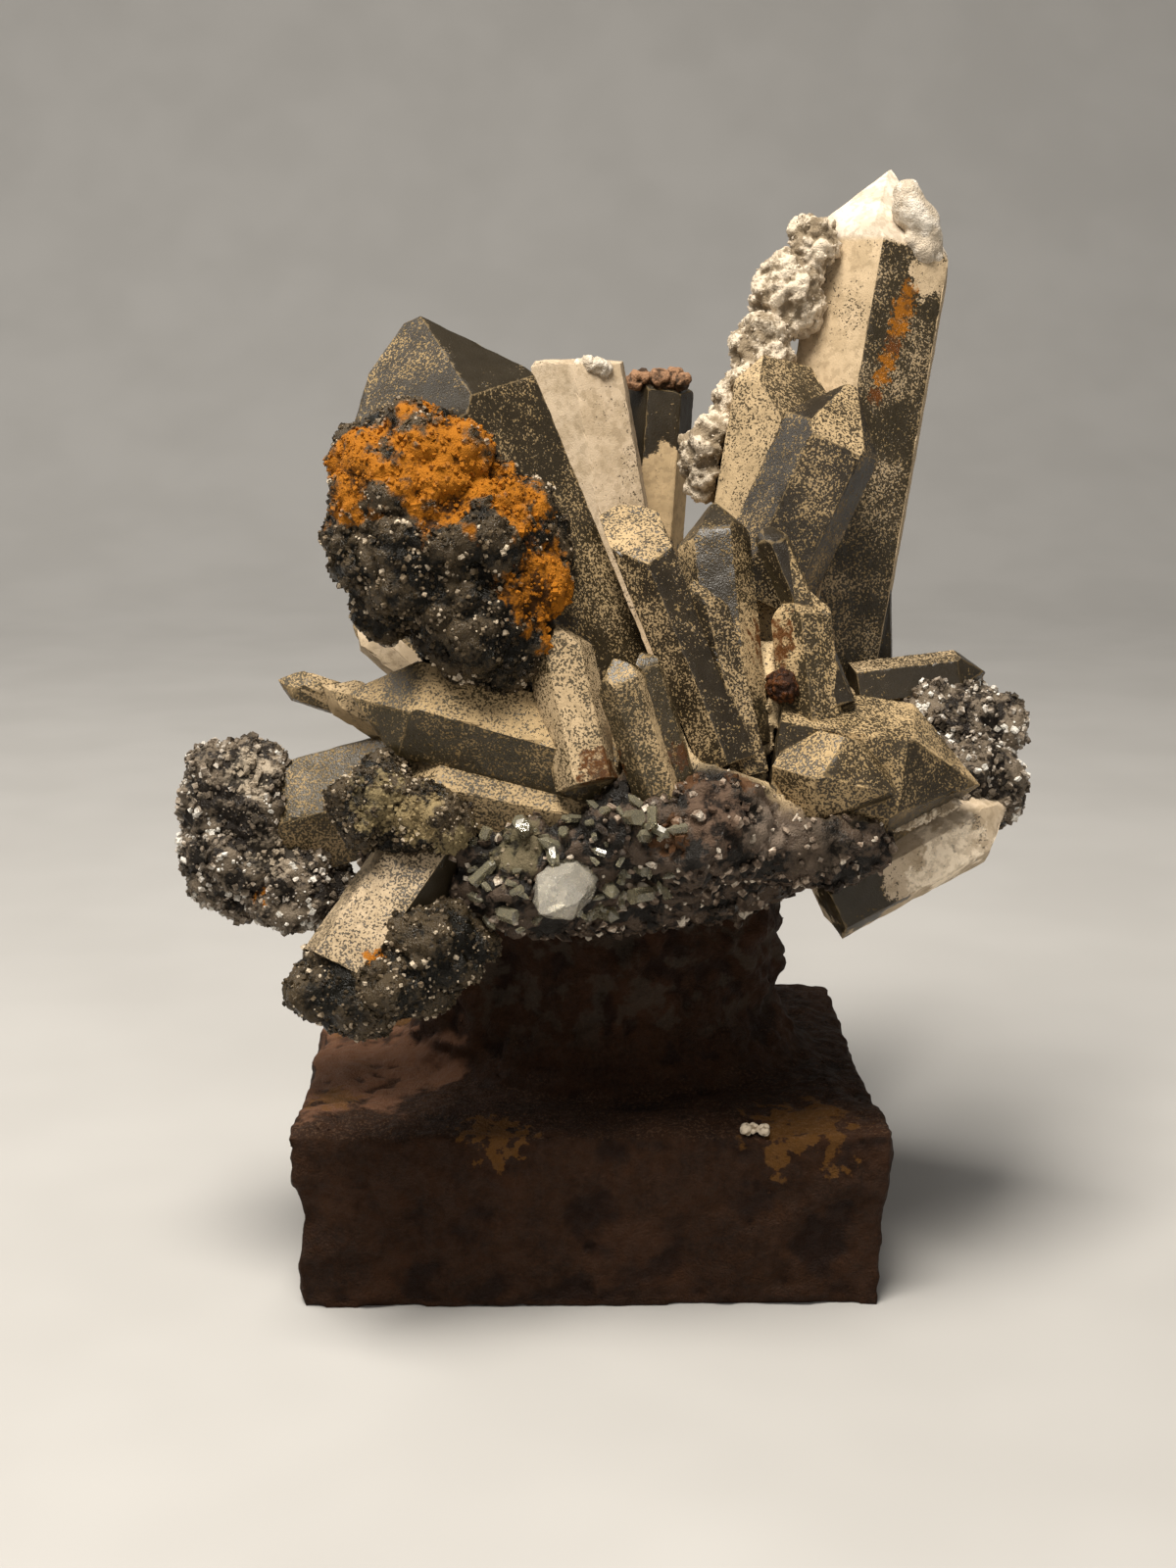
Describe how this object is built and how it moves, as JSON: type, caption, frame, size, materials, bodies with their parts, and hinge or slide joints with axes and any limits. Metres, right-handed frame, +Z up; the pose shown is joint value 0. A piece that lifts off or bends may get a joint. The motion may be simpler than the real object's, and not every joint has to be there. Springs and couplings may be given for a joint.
{
  "type": "quartz on matrix specimen on a plastered display block",
  "caption": "Cluster of smoky, sand-coated quartz crystals with grainy crusts on dark matrix rock, on a rough plastered display block.",
  "frame": {"origin": "centre of the display block's flat underside", "axes": "+Z up, from the block towards the crystal tips; -Y towards the front, the side that the picture shows; +X to the right seen from the front"},
  "size_m": [0.1412, 0.119, 0.1905],
  "materials": {
    "coated_quartz": "smoky quartz under a thin speckled sandy coat",
    "clear_quartz": "clear broken quartz",
    "pale_grains": "rough grains, white over grey",
    "dark_grains": "glittering dark grains with ochre patches",
    "rust": "matt iron rust",
    "matrix": "rough dark rock with pale grains",
    "plaster": "rough matt plaster, reddish brown"
  },
  "bodies": {
    "root": {"left_crystals": "coated_quartz", "right_tall_crystals": "coated_quartz", "back_crystals": "coated_quartz", "middle_crystals": "coated_quartz", "front_crystals": "coated_quartz", "left_outer_crystals": "coated_quartz", "lower_left_crystal": "coated_quartz", "right_front_crystals": "coated_quartz", "right_outer_crystal": "coated_quartz", "right_shard": "coated_quartz", "small_white_crystal": "coated_quartz", "rear_left_crystals": "coated_quartz", "rear_middle_crystal": "coated_quartz", "rear_right_crystal": "coated_quartz", "clear_front_crystal": "clear_quartz", "white_crust": "pale_grains", "ochre_druse": "dark_grains", "left_end_druse": "pale_grains", "right_end_druse": "pale_grains", "middle_left_druse": "dark_grains", "lower_left_druse": "dark_grains", "rust_ball": "rust", "matrix_rock": "matrix", "display_base": "plaster"}
  },
  "joints": []
}
